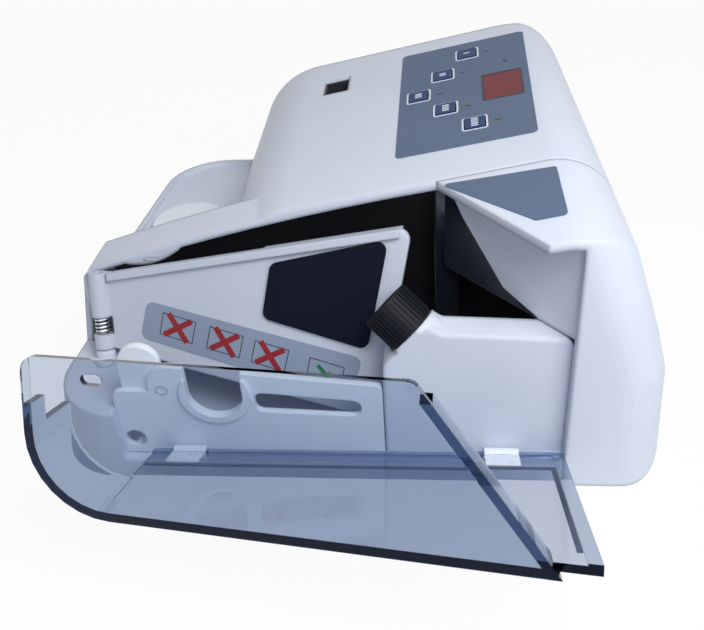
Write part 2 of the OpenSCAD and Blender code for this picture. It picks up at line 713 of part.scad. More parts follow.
// Ring of the spring wire at a fraction t of its length
function coil_ring(t) =
    let (a = 360 * spring_turns * t, z = spring_lo + wire_r + (spring_hi - spring_lo - 2 * wire_r) * t)
    [for (j = [0:5]) let (b = 60 * j)
        [(coil_r + wire_r * cos(b)) * cos(a), (coil_r + wire_r * cos(b)) * sin(a), z + wire_r * sin(b)]];
coil_n = 8 * spring_turns;
coil_points = [for (i = [0:coil_n]) each coil_ring(i / coil_n)];
coil_faces = concat(
    [for (i = [0:coil_n - 1], j = [0:5]) each let (a = 6 * i + j, b = 6 * i + (j + 1) % 6)
        [[a, a + 6, b + 6], [a, b + 6, b]]],
    [for (j = [1:4]) [0, j, j + 1]],
    [for (j = [1:4]) [6 * coil_n, 6 * coil_n + j + 1, 6 * coil_n + j]]);
echo(least_gap_between_turns = (spring_hi - spring_lo - 2 * wire_r) / spring_turns - 2 * wire_r);

module paddle_spring() color("silver") place() on_hinge() polyhedron(coil_points, coil_faces);

module feed_roller() color("#1c1c1f") place() on_roller() difference() {
    union() {
        cylinder(r = roller_r - 0.5, h = roller_l);
        for (i = [0:ribs - 1]) rotate([0, 0, 360 * i / ribs])
            translate([roller_r - 0.9, -0.4, 0.8]) cube([0.9, 0.8, roller_l - 1.6]);
    }
    translate([0, 0, roller_l - 3]) difference() {
        cylinder(r = roller_r - 2.2, h = 4);
        cylinder(r = 4, h = 2);
    }
    translate([0, 0, -1]) cylinder(r = shaft_r, h = roller_l + 2);
}

module roller_shaft() color("silver") place() on_roller()
    translate([0, 0, -bush_l]) cylinder(r = shaft_r, h = roller_l - 1 + bush_l);

module roller_bush() color("#b08d4c") place() on_roller() translate([0, 0, -bush_l - gap]) difference() {
    cylinder(r = shaft_r + bush_t, h = bush_l);
    translate([0, 0, gap]) cylinder(r = shaft_r + fit, h = 10);
}

module rubber_feet() color("#2b2b2b") place() for (p = feet) translate([p.x, p.y, -drop])
    cylinder(r = foot_r, h = foot_h);

module base_screws() color("silver") place() for (p = screws) translate([p.x, p.y, base_z]) difference() {
    union() {
        cylinder(r = screw_r, h = 1.2);
        cylinder(r = screw_r / 2, h = wall + 6);
    }
    cube([3.4, 0.8, 1.2], center = true);
}

base_tray();
rear_housing();
front_shell();
roller_block();
front_guard();
bay_liner();
deck_cap();
control_label();
corner_label();
display_window();
display_module();
circuit_board();
indicator_lights();
data_socket();
sensor_post();
key_1();
key_2();
key_3();
key_4();
key_5();
hinge_clips();
cover();
hinge_boss();
paddle_pin();
paddle();
paddle_pad();
paddle_label();
paddle_spring();
feed_roller();
roller_shaft();
roller_bush();
rubber_feet();
base_screws();
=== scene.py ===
"""Looks of a portable banknote counter with an open smoke cover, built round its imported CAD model."""

import logging
import math
from dataclasses import dataclass, field
from enum import Enum

import bmesh
import bpy
from mathutils import Matrix, Vector


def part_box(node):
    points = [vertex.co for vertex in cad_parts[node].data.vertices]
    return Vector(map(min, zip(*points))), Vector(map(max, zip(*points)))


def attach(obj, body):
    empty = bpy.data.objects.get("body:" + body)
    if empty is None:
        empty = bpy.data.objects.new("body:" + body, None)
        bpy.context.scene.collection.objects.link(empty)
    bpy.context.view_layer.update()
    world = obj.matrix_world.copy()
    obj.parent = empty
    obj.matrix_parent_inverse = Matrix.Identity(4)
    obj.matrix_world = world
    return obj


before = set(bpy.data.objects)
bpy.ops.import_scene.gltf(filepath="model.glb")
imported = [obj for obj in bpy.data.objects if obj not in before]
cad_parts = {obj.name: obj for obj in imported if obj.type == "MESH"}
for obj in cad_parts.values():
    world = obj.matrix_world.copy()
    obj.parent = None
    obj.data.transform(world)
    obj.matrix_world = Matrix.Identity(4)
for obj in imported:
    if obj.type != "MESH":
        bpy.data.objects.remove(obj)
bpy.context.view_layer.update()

LOG = logging.getLogger("banknote_counter")
MM = 0.001
WHITE = "#ffffff"
KEY_NUMBERS = range(1, 6)

# Datum of the note bay, which the places below count from in millimetres. The right column's face lies
# this far along X from it, the bay's floor this far above it, and the base tray's cover side level with it.
COLUMN_X = 187.0
BAY_FLOOR_Z = 8.0
DATUM = Vector((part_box("roller_block")[1][0] - COLUMN_X * MM,
                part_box("base_tray")[0][1],
                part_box("front_guard")[0][2] - BAY_FLOOR_Z * MM))

# Sockets of Blender's mix node while it mixes colours.
MIX_FACTOR = 0
MIX_FIRST = 6
MIX_SECOND = 7
MIX_RESULT = 2

# Octaves of the noise in a drifting tone, in a moulded grain and in the slow waves of a cast sheet.
TONE_DETAIL = 3.0
GRAIN_DETAIL = 2.0
WAVE_DETAIL = 1.0
# Strength of the bump that a grain and a wave give.
GRAIN_STRENGTH = 0.5
WAVE_STRENGTH = 0.2
# Rays that feel for a neighbouring edge where the light is run round it.
EDGE_SAMPLES = 8

Point2 = tuple[float, float]
Point3 = tuple[float, float, float]
Spot = tuple[float, float, float, float]


class Body(Enum):
    """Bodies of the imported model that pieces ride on."""

    HOUSING = "housing"
    COVER = "cover"
    PADDLE = "paddle"
    KEY_1 = "key_1"
    KEY_2 = "key_2"
    KEY_3 = "key_3"
    KEY_4 = "key_4"
    KEY_5 = "key_5"


class Coat(Enum):
    """How much clear gloss lies over a surface."""

    TEXTURED = 0.0
    SATIN = 0.15
    POLISHED = 0.6


def hex_linear(code: str) -> tuple[float, float, float, float]:
    """Turns an sRGB hex colour into linear light, by the curve of the sRGB standard.

    Args:
        code: Colour as six hex digits, with a hash before them.

    Returns:
        Linear red, green, blue and an alpha of one.
    """
    parts = [int(code[i:i + 2], 16) / 255 for i in (1, 3, 5)]
    lin = [p / 12.92 if p <= 0.04045 else ((p + 0.055) / 1.055) ** 2.4 for p in parts]
    return lin[0], lin[1], lin[2], 1.0


def add_node(tree: bpy.types.NodeTree, kind: str, values: dict | None = None,
             links: dict | None = None, **settings: object) -> bpy.types.Node:
    """Adds a shader node with its settings, socket values and incoming links.

    Args:
        tree: Node tree that takes the node.
        kind: Blender's name of the node type.
        values: Socket name or index to its fixed value.
        links: Socket name or index to the output socket that feeds it.
        settings: Properties set on the node itself.

    Returns:
        The new node.
    """
    node = tree.nodes.new(kind)
    for key, value in settings.items():
        setattr(node, key, value)
    for key, value in (values or {}).items():
        node.inputs[key].default_value = value
    for key, socket in (links or {}).items():
        tree.links.new(socket, node.inputs[key])
    return node


def build_point(x: float, y: float, z: float) -> Vector:
    """Gives the part-frame place, in metres, of a point counted from the datum in millimetres."""
    return DATUM + Vector((x, y, z)) * MM


@dataclass(frozen=True)
class Finish:
    """A surface with a tone that drifts a little and a grain in its bump.

    Args:
        name: Common name of the material and how it was made.
        colour: Main sRGB hex colour.
        drift: Second hex colour that the tone drifts to.
        roughness: Middle roughness.
        spread: How far roughness strays from the middle.
        ior: Index of refraction.
        metallic: One for bare metal.
        grain: Size of the surface grain in millimetres.
        depth: Depth of the grain in millimetres.
        cloud: Size of the tone's drift in millimetres.
        coat: Gloss coat over the surface.
        soft: Radius, in millimetres, over which the light runs round the mould's edges and facets.
        gloss: Specular level, a half for a plain smooth surface and less for a matt one.
    """

    name: str
    colour: str
    drift: str
    roughness: float
    spread: float = 0.04
    ior: float = 1.5
    metallic: float = 0.0
    grain: float = 0.8
    depth: float = 0.02
    cloud: float = 30.0
    coat: Coat = Coat.TEXTURED
    soft: float = 0.0
    gloss: float = 0.5

    def material(self) -> bpy.types.Material:
        """Makes the material, unless it was made before.

        Returns:
            The material of this finish's name.
        """
        known = bpy.data.materials.get(self.name)
        if known:
            return known
        mat = bpy.data.materials.new(self.name)
        mat.use_nodes = True
        tree = mat.node_tree
        tree.nodes.clear()
        self.shade(tree)
        return mat

    def shade(self, tree: bpy.types.NodeTree) -> None:
        """Fills the node tree with the shader and its grain.

        Args:
            tree: Empty node tree of the material.
        """
        place = add_node(tree, "ShaderNodeTexCoord").outputs["Object"]
        tone = add_node(tree, "ShaderNodeTexNoise", {"Scale": 1 / (self.cloud * MM), "Detail": TONE_DETAIL},
                        {"Vector": place})
        mix = add_node(tree, "ShaderNodeMix",
                       {MIX_FIRST: hex_linear(self.colour), MIX_SECOND: hex_linear(self.drift)},
                       {MIX_FACTOR: tone.outputs["Fac"]}, data_type="RGBA")
        grain = add_node(tree, "ShaderNodeTexNoise",
                         {"Scale": 1 / (self.grain * MM), "Detail": GRAIN_DETAIL}, {"Vector": place})
        rough = add_node(tree, "ShaderNodeMapRange",
                         {"To Min": self.roughness - self.spread, "To Max": self.roughness + self.spread},
                         {"Value": grain.outputs["Fac"]})
        bump = add_node(tree, "ShaderNodeBump", {"Strength": GRAIN_STRENGTH, "Distance": self.depth * MM},
                        {"Height": grain.outputs["Fac"]})
        if self.soft:
            edge = add_node(tree, "ShaderNodeBevel", {"Radius": self.soft * MM}, samples=EDGE_SAMPLES)
            tree.links.new(edge.outputs["Normal"], bump.inputs["Normal"])
        shader = add_node(tree, "ShaderNodeBsdfPrincipled",
                          {"Metallic": self.metallic, "IOR": self.ior, "Specular IOR Level": self.gloss,
                           "Coat Weight": self.coat.value},
                          {"Base Color": mix.outputs[MIX_RESULT], "Roughness": rough.outputs["Result"],
                           "Normal": bump.outputs["Normal"]})
        add_node(tree, "ShaderNodeOutputMaterial", None, {"Surface": shader.outputs["BSDF"]})


@dataclass(frozen=True)
class SmokeAcrylic(Finish):
    """Cast acrylic tinted smoke blue: clear through a sheet, dark where the eye looks along it.

    Args:
        density: How strongly a metre would absorb light, so that a sheet keeps about two thirds of it.
        cast: Hex colour that each face leaves in the lamp light that it lets through.
        sheen: Hex colour of the gloss on its faces, which turns the dark cut edges navy.
    """

    density: float = 215.0
    cast: str = "#9fb0c6"
    sheen: str = "#8fa8dc"

    def shade(self, tree: bpy.types.NodeTree) -> None:
        """Fills the node tree with a clear shader, which lets lamp light through, and an absorbing volume.

        Args:
            tree: Empty node tree of the material.
        """
        place = add_node(tree, "ShaderNodeTexCoord").outputs["Object"]
        wave = add_node(tree, "ShaderNodeTexNoise", {"Scale": 1 / (self.grain * MM), "Detail": WAVE_DETAIL},
                        {"Vector": place})
        bump = add_node(tree, "ShaderNodeBump", {"Strength": WAVE_STRENGTH, "Distance": self.depth * MM},
                        {"Height": wave.outputs["Fac"]})
        shader = add_node(tree, "ShaderNodeBsdfPrincipled",
                          {"Base Color": hex_linear(WHITE), "Transmission Weight": 1.0, "IOR": self.ior,
                           "Roughness": self.roughness, "Specular Tint": hex_linear(self.sheen)},
                          {"Normal": bump.outputs["Normal"]})
        passing = add_node(tree, "ShaderNodeBsdfTransparent", {"Color": hex_linear(self.cast)})
        path = add_node(tree, "ShaderNodeLightPath")
        sheet = add_node(tree, "ShaderNodeMixShader", None,
                         {0: path.outputs["Is Shadow Ray"], 1: shader.outputs["BSDF"],
                          2: passing.outputs["BSDF"]})
        tint = add_node(tree, "ShaderNodeVolumeAbsorption",
                        {"Color": hex_linear(self.colour), "Density": self.density})
        add_node(tree, "ShaderNodeOutputMaterial", None,
                 {"Surface": sheet.outputs["Shader"], "Volume": tint.outputs["Volume"]})


# Injection-moulded ABS: cool white, with the spark-eroded grain of the mould and a soft sheen. The grain is
# drawn several times coarser than the real one, so that it shows.
SHELL_ABS = Finish("white_abs_moulded", "#d9e0ec", "#d0d8e6", 0.42, grain=0.9, soft=2.5, gloss=0.35)
# The paddle's ABS, drawn a shade darker than the shell round it: painted shade, for the shade that the
# paddle lies in, sunk in the bay.
PADDLE_ABS_PAINTED_SHADE = Finish("white_abs_painted_shade", "#c9d0dc", "#c2cad8", 0.45, grain=0.9, soft=1.2, gloss=0.3)
# Cap of the deck and guard of the bay: the same ABS, drawn a little whiter. On the guard this is painted
# light, which makes up for the light that the smoke cover takes from it.
PAINTED_LIGHT_ABS = Finish("white_abs_painted_light", "#eef4fb", "#e6eef7", 0.4, grain=0.9, soft=0.8)
# The same ABS straight from a polished tool: smoother and a little brighter.
CLIP_ABS = Finish("white_abs_polished", "#e6ecf5", "#dde4ef", 0.28, grain=2.0, depth=0.01, coat=Coat.SATIN)
# Black ABS lining: dull, so that the bay reads as a dark hole. The painted shade on the back wall at the
# bay's right end wears it too.
LINER_ABS = Finish("black_abs_matte", "#07090d", "#0c0e13", 0.5, grain=0.6)
# Black ABS of the socket and the display module: moulded smooth, and grey where light grazes it.
SOCKET_ABS = Finish("black_abs_socket", "#2a2d33", "#33363d", 0.45, grain=0.5)
# Polyester print film: slate grey ink under a fine satin texture, which is drawn coarse enough to show.
SLATE_FILM = Finish("slate_print_film", "#62718a", "#5b6a83", 0.5, grain=0.4, depth=0.01, gloss=0.15)
# The paddle's print film: the same satin texture over a paler grey ink.
PALE_FILM = Finish("grey_print_film", "#919eb3", "#8a97ad", 0.45, grain=0.4, depth=0.01, gloss=0.3)
# White screen-printed ink: flat and a little blue, with hardly any relief.
WHITE_INK = Finish("white_screen_ink", "#dfe6f2", "#d5ddeb", 0.45, grain=0.3, depth=0.005)
# Black screen-printed ink: soft charcoal lines.
DARK_INK = Finish("black_screen_ink", "#20242e", "#272b36", 0.5, grain=0.3, depth=0.005)
# Red screen-printed ink: a deep matt red that stands out from the grey film.
RED_INK = Finish("red_screen_ink", "#951d28", "#8b1a25", 0.55, grain=0.3, depth=0.005)
# Green screen-printed ink: a dark leaf green.
GREEN_INK = Finish("green_screen_ink", "#1f7a4f", "#1b6c48", 0.45, grain=0.3, depth=0.005)
# Moulded silicone of the key caps, dyed navy: matt, with light only on its edges.
KEY_NAVY = Finish("navy_silicone_key", "#2a3c60", "#32466e", 0.5, grain=0.5, gloss=0.2)
# Red display filter: tinted acrylic, polished, and nearly even in tone.
RED_FILTER = Finish("red_display_filter", "#6c2329", "#752a30", 0.3, spread=0.02, grain=5.0, depth=0.004,
                    cloud=8.0, gloss=0.15)
# Smoked polycarbonate of the small lights and the sensor post: almost black, with a sharp gloss.
# The painted shade on the slanted wall at the bay's right end wears it too.
DARK_LENS = Finish("smoked_polycarbonate", "#171a24", "#20232e", 0.16, grain=4.0, depth=0.004,
                   coat=Coat.POLISHED)
# Friction rubber: near-black with a blue cast and a dry surface.
PAD_RUBBER = Finish("navy_friction_rubber", "#050b1b", "#081024", 0.75, ior=1.25, grain=0.5, depth=0.03)
# Vulcanised rubber of the feed roller: black and dull, so that its ribs show by their edges alone.
ROLLER_RUBBER = Finish("black_ribbed_rubber", "#0e1017", "#15181f", 0.58, ior=1.4, grain=0.4, depth=0.04,
                       gloss=0.3)
# Pressed rubber of the feet: charcoal, dry and coarse.
FOOT_RUBBER = Finish("black_foot_rubber", "#242527", "#2c2d30", 0.7, grain=0.5, depth=0.04)
# Drawn spring steel: bright, with drawing lines that are too fine to show, so a soft grain stands for them.
SPRING_STEEL = Finish("drawn_spring_steel", "#b9bcc2", "#a7abb2", 0.26, metallic=1.0, grain=0.5, depth=0.01)
# Turned brass of the shaft's bush: warm and bright, with the same soft grain.
BUSH_BRASS = Finish("turned_brass", "#b8934f", "#a88345", 0.3, metallic=1.0, grain=0.5, depth=0.01)
# Solder mask of the circuit board, which the housing hides: dark green under a thin gloss.
BOARD_GREEN = Finish("green_solder_mask", "#1f5b38", "#1a4f30", 0.35, grain=1.5, coat=Coat.SATIN)
# Smoke acrylic of the cover: a clear tint with faint waves from casting.
COVER_ACRYLIC = SmokeAcrylic("smoke_blue_acrylic", "#4f85b8", "#4f85b8", 0.02, ior=1.49, grain=14.0,
                             depth=0.05)
# The same acrylic where a moulded ridge is seen edge on, drawn opaque deep navy: painted shade for the
# darkness that the eye sees along the acrylic there.
RIDGE_PAINTED_SHADE = Finish("navy_acrylic_ridge_painted_shade", "#2a3650", "#303d59", 0.2, grain=3.0, depth=0.005,
                       coat=Coat.SATIN)
# Seamless paper under the part: white and dull, with the faint mottle of its pulp.
FLOOR_PAPER = Finish("white_seamless_paper", "#f2f3f5", "#eff0f3", 0.8, grain=2.0)

NODE_FINISH: dict[str, Finish] = {
    "base_tray": SHELL_ABS, "rear_housing": SHELL_ABS, "front_shell": SHELL_ABS, "roller_block": SHELL_ABS,
    "front_guard": PAINTED_LIGHT_ABS, "bay_liner": LINER_ABS, "deck_cap": PAINTED_LIGHT_ABS, "control_label": SLATE_FILM,
    "corner_label": SLATE_FILM, "display_window": RED_FILTER, "display_module": SOCKET_ABS,
    "circuit_board": BOARD_GREEN, "indicator_lights": DARK_LENS, "data_socket": SOCKET_ABS,
    "sensor_post": DARK_LENS, "hinge_clips": CLIP_ABS, "cover": COVER_ACRYLIC, "hinge_boss": SHELL_ABS,
    "paddle_pin": SPRING_STEEL, "paddle": PADDLE_ABS_PAINTED_SHADE, "paddle_pad": PAD_RUBBER, "paddle_label": PALE_FILM,
    "paddle_spring": SPRING_STEEL, "feed_roller": ROLLER_RUBBER, "roller_shaft": SPRING_STEEL,
    "roller_bush": BUSH_BRASS, "rubber_feet": FOOT_RUBBER, "base_screws": SPRING_STEEL,
    **{f"key_{i}": KEY_NAVY for i in KEY_NUMBERS},
}
# Moulded edges that catch the light, in millimetres.
SOFT_EDGES: dict[str, float] = {
    "base_tray": 0.5, "rear_housing": 0.6, "front_shell": 0.6, "roller_block": 0.6, "front_guard": 0.5,
    "deck_cap": 0.4, "paddle": 0.5, "hinge_clips": 0.4, "hinge_boss": 0.3, "cover": 0.35,
    "paddle_pad": 0.3, "sensor_post": 0.4, **{f"key_{i}": 0.3 for i in KEY_NUMBERS},
}


@dataclass(frozen=True)
class Facing:
    """A flat face to lay thin pieces on, counted from the datum in millimetres.

    Args:
        origin: Point that both face coordinates count from.
        u: Unit direction of the first coordinate.
        v: Unit direction of the second coordinate.
        w: Unit direction out of the face.
    """

    origin: Point3
    u: Point3
    v: Point3
    w: Point3

    @classmethod
    def turned(cls, origin: Point3, tilt: float, rise: float = 0.0) -> "Facing":
        """Gives a face that starts level, is tilted about X and then turned about its second direction.

        Args:
            origin: Point that both face coordinates count from.
            tilt: Tilt about X in degrees, where 90 stands the face up towards the cover side.
            rise: Turn in degrees about the second direction, which lifts the face's right side.

        Returns:
            The face.
        """
        turn = Matrix.Rotation(math.radians(tilt), 3, "X") @ Matrix.Rotation(math.radians(-rise), 3, "Y")
        return cls(origin, *(tuple(column) for column in turn.col))

    def raised(self, height: float) -> "Facing":
        """Gives the parallel face at a height above this one.

        Args:
            height: Distance along w in millimetres.

        Returns:
            The raised face.
        """
        origin = tuple(o + height * k for o, k in zip(self.origin, self.w))
        return Facing(origin, self.u, self.v, self.w)

    def at(self, a: float, b: float, c: float) -> Vector:
        """Gives the place, in metres, of face coordinates a and b at height c.

        Args:
            a: Distance along u in millimetres.
            b: Distance along v in millimetres.
            c: Height above the face in millimetres.

        Returns:
            The place in the part's frame.
        """
        p = [o + a * i + b * j + c * k for o, i, j, k in zip(self.origin, self.u, self.v, self.w)]
        return build_point(*p)


# Top face, counted from the control label's left edge at the cover side. It rises to the back by its tilt
# and to the right by its rise, and its height is taken square to the tilt.
TOP_TILT = 4.0
TOP_RISE = 11.3
PANEL_X = 127.0
PANEL_HEIGHT = 90.311
TOP_FACE = Facing.turned((PANEL_X, -PANEL_HEIGHT * math.sin(math.radians(TOP_TILT)),
                          PANEL_HEIGHT * math.cos(math.radians(TOP_TILT))), TOP_TILT, TOP_RISE)
# Front face of the paddle, counted from its hinge: it leans back, and swings in towards the roller.
PADDLE_HINGE = (14.0, 39.0, 49.5)
PADDLE_TILT = 70.0
PADDLE_SWING = 8.0
PADDLE_FACE = Facing.turned(PADDLE_HINGE, PADDLE_TILT, PADDLE_SWING)
# Inner face of the open cover's sheet, half a sheet above the hinge's line. Its second coordinate grows
# towards the body, so it is negative out on the sheet.
COVER_HINGE = (0.0, 1.3, 11.0)
COVER_TILT = -25.0
COVER_HALF_SHEET = 1.3
COVER_SHEET = Facing.turned(COVER_HINGE, COVER_TILT).raised(COVER_HALF_SHEET)
# Upright faces that look to the cover side: the guard, the rim's round tab and the back wall of the bay.
UPRIGHT = 90.0
GUARD_FACE = Facing.turned((0.0, 4.7, 0.0), UPRIGHT)
RIM_TAB_FACE = Facing.turned((0.0, 48.0, 0.0), UPRIGHT)
BAY_BACK = Facing.turned((0.0, 64.0, 0.0), UPRIGHT)
# Slanted wall at the right end of the note bay, counted from its back foot, and its angle to X in degrees.
WALL_SLANT = 46.525
SLANTED_WALL = Facing.turned((145.0, 48.0, 0.0), UPRIGHT, WALL_SLANT)
# Front edge of the left end wall, which runs back along the housing's tapered side.
END_TAPER = math.radians(5.097)
END_WALL_FACE = Facing((0.0, 43.9, 0.0), (1.0, 0.0, 0.0), (0.0, 0.0, 1.0),
                       (-math.sin(END_TAPER), -math.cos(END_TAPER), 0.0))


def round_corners(points: list[Point2], radius: float, steps: int = 4) -> list[Point2]:
    """Rounds every corner of an outline.

    Args:
        points: Corners in order.
        radius: Corner radius in millimetres.
        steps: Segments of each corner.

    Returns:
        The rounded outline.
    """
    out: list[Point2] = []
    for i, p in enumerate(points):
        here = Vector(p)
        a = (Vector(points[i - 1]) - here).normalized()
        b = (Vector(points[(i + 1) % len(points)]) - here).normalized()
        half = math.acos(max(-1.0, min(1.0, a.dot(b)))) / 2
        reach = radius / math.tan(half)
        mid = here + (a + b).normalized() * radius / math.sin(half)
        first, last = here + a * reach - mid, here + b * reach - mid
        turn = first.angle_signed(last)
        for s in range(steps + 1):
            spoke = Matrix.Rotation(-turn * s / steps, 2) @ first
            out.append((mid.x + spoke.x, mid.y + spoke.y))
    return out


def ellipse(a: float, b: float, w: float, h: float, steps: int = 20) -> list[Point2]:
    """Gives an ellipse about a centre.

    Args:
        a: First coordinate of the centre.
        b: Second coordinate of the centre.
        w: Width in millimetres.
        h: Height in millimetres.
        steps: Number of its points.

    Returns:
        Its points in order.
    """
    turns = [2 * math.pi * i / steps for i in range(steps)]
    return [(a + w / 2 * math.cos(t), b + h / 2 * math.sin(t)) for t in turns]


def rectangle(a: float, b: float, w: float, h: float, turn: float = 0.0) -> list[Point2]:
    """Gives a rectangle about a centre.

    Args:
        a: First coordinate of the centre.
        b: Second coordinate of the centre.
        w: Width in millimetres.
        h: Height in millimetres.
        turn: Turn in degrees.

    Returns:
        Its four corners.
    """
    spin = Matrix.Rotation(math.radians(turn), 2)
    corners = [spin @ Vector((s * w / 2, t * h / 2)) for s, t in ((-1, -1), (1, -1), (1, 1), (-1, 1))]
    return [(a + c.x, b + c.y) for c in corners]


def bridge(bm: bmesh.types.BMesh, first: list[bmesh.types.BMVert],
           second: list[bmesh.types.BMVert]) -> None:
    """Joins two rings of as many points with a band of four-sided faces.

    Args:
        bm: Mesh that takes the faces.
        first: Points of the first ring.
        second: Points of the second ring.
    """
    for i in range(len(first)):
        j = (i + 1) % len(first)
        bm.faces.new((first[i], first[j], second[j], second[i]))


@dataclass
class ThinPiece:
    """A thin printed or moulded piece that lies on a face.

    Args:
        name: Name of the piece.
        face: Face that carries it.
        outline: Outer outline in face coordinates.
        low: Height of its underside in millimetres.
        high: Height of its top in millimetres.
        finish: Finish of the piece.
        body: Body that it rides on.
        slot: Not used.
        hole: Inner outline with as many points as the outer one, or none.
    """

    name: str
    face: Facing
    outline: list[Point2]
    low: float
    high: float
    finish: Finish
    body: Body
    slot: str
    hole: list[Point2] | None = None

    def build(self) -> None:
        """Makes the piece's mesh, dresses it and sets it on its body."""
        bm = bmesh.new()
        loops = [self.outline] + ([self.hole] if self.hole else [])
        rings = [[[bm.verts.new(self.face.at(a, b, c)) for a, b in loop] for c in (self.low, self.high)]
                 for loop in loops]
        for bottom, top in rings:
            bridge(bm, bottom, top)
        for level in (0, 1):
            if self.hole:
                bridge(bm, rings[0][level], rings[1][level])
            else:
                bm.faces.new(rings[0][level])
        bmesh.ops.recalc_face_normals(bm, faces=bm.faces)
        mesh = bpy.data.meshes.new(self.name)
        bm.to_mesh(mesh)
        bm.free()
        piece = bpy.data.objects.new(self.name, mesh)
        bpy.context.collection.objects.link(piece)
        mesh.materials.append(self.finish.material())
        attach(piece, self.body.value)
        LOG.info("%s on %s", self.name, self.body.value)


@dataclass(frozen=True)
class PrintFilm:
    """A label's film, which takes printed pieces.

    Args:
        face: Face that the film lies on.
        body: Body that it rides on.
        slot: Material slot of the record.
        thickness: Thickness of the film in millimetres.
    """

    face: Facing
    body: Body
    slot: str
    thickness: float = 0.3

    def print_piece(self, name: str, outline: list[Point2], ink: float, finish: Finish,
                    hole: list[Point2] | None = None) -> None:
        """Prints a piece on the film.

        Args:
            name: Name of the piece.
            outline: Outer outline in face coordinates.
            ink: Height of the ink above the film in millimetres.
            finish: Finish of the ink.
            hole: Inner outline, or none.
        """
        ThinPiece(name, self.face, outline, self.thickness, self.thickness + ink, finish, self.body,
                  self.slot, hole).build()


CONTROL_FILM = PrintFilm(TOP_FACE, Body.HOUSING, "label_slate")
PADDLE_FILM = PrintFilm(PADDLE_FACE, Body.PADDLE, "paddle_print")


@dataclass
class Mouldings:
    """The CAD nodes, with their finishes and soft moulded edges.

    Args:
        segments: Facets of each softened edge.
        edge_angle: Least angle, in degrees, of an edge that is softened.
    """

    segments: int = 2
    edge_angle: float = 38.0

    def dress(self) -> None:
        """Gives every CAD node its finish, and rounds its edges in the render."""
        for name, finish in NODE_FINISH.items():
            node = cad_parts[name]
            node.data.materials.clear()
            node.data.materials.append(finish.material())
            if name in SOFT_EDGES:
                self.soften(node, SOFT_EDGES[name])
            LOG.info("%s: %s", name, finish.name)

    def soften(self, node: bpy.types.Object, width: float) -> None:
        """Adds an edge bevel to a node.

        Args:
            node: CAD node's object.
            width: Bevel width in millimetres.
        """
        bevel = node.modifiers.new("moulded_edge", "BEVEL")
        bevel.width = width * MM
        bevel.segments = self.segments
        bevel.limit_method = "ANGLE"
        bevel.angle_limit = math.radians(self.edge_angle)
        bevel.harden_normals = True


@dataclass
class ControlPanel:
    """Printed borders and marks of the control label.

    Args:
        keys: Key centres on the top face.
        key_side: Side of a key with its clearance.
        key_r: Corner radius of the hole in a key's border.
        border: Width of a key's printed border.
        border_r: Outer corner radius of every border.
        border_ink: Height of the borders above the film.
        window: Centre of the display window.
        window_size: Size of the display window.
        window_r: Corner radius of the display window.
        window_border: Width of the dark line round the window.
        stroke: Length and width of a stroke printed on a key.
        stroke_pitch: Distance between strokes.
        stroke_ink: Height of a stroke above its key.
        spare_dot: Centre of the printed dot above the window.
        dot_d: Diameter of that dot.
        dot_ink: Height of that dot above the film.
    """

    keys: list[Point2] = field(default_factory=lambda: [
        (28.0, 149.5), (17.7, 134.0), (7.9, 119.5), (18.9, 104.8), (29.8, 89.3)])
    key_side: float = 8.4
    key_r: float = 0.4
    border: float = 0.7
    border_r: float = 1.2
    border_ink: float = 0.12
    window: Point2 = (41.3, 116.0)
    window_size: Point2 = (14.6, 20.1)
    window_r: float = 0.3
    window_border: float = 0.8
    stroke: Point2 = (2.6, 0.7)
    stroke_pitch: float = 1.3
    stroke_ink: float = 0.06
    spare_dot: Point2 = (43.3, 135.9)
    dot_d: float = 1.9
    dot_ink: float = 0.1

    def build(self) -> None:
        """Prints the borders, the strokes and the dot."""
        for i, (a, b) in zip(KEY_NUMBERS, self.keys):
            outer = self.key_side + 2 * self.border
            CONTROL_FILM.print_piece(
                f"key_border_{i}", round_corners(rectangle(a, b, outer, outer), self.border_r),
                self.border_ink, WHITE_INK,
                round_corners(rectangle(a, b, self.key_side, self.key_side), self.key_r))
            self.mark_key(i, a, b)
        w, h = self.window_size
        line = 2 * self.window_border
        CONTROL_FILM.print_piece(
            "window_border", round_corners(rectangle(*self.window, w + line, h + line), self.border_r),
            self.border_ink, DARK_INK, round_corners(rectangle(*self.window, w, h), self.window_r))
        dot = ellipse(*self.spare_dot, self.dot_d, self.dot_d)
        CONTROL_FILM.print_piece("spare_dot", dot, self.dot_ink, DARK_INK)

    def mark_key(self, i: int, a: float, b: float) -> None:
        """Prints pale strokes on a key, one more on each key than on the one before it.

        Args:
            i: Number of the key.
            a: First coordinate of its centre.
            b: Second coordinate of its centre.
        """
        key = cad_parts[f"key_{i}"]
        base, out = TOP_FACE.at(0.0, 0.0, 0.0), Vector(TOP_FACE.w)
        top = max((key.matrix_world @ v.co - base).dot(out) for v in key.data.vertices) / MM
        for k in range(i):
            across = (k - (i - 1) / 2) * self.stroke_pitch
            ThinPiece(f"key_mark_{i}_{k + 1}", TOP_FACE, rectangle(a, b + across, *self.stroke),
                      top, top + self.stroke_ink, WHITE_INK, Body[f"KEY_{i}"], "key_navy").build()


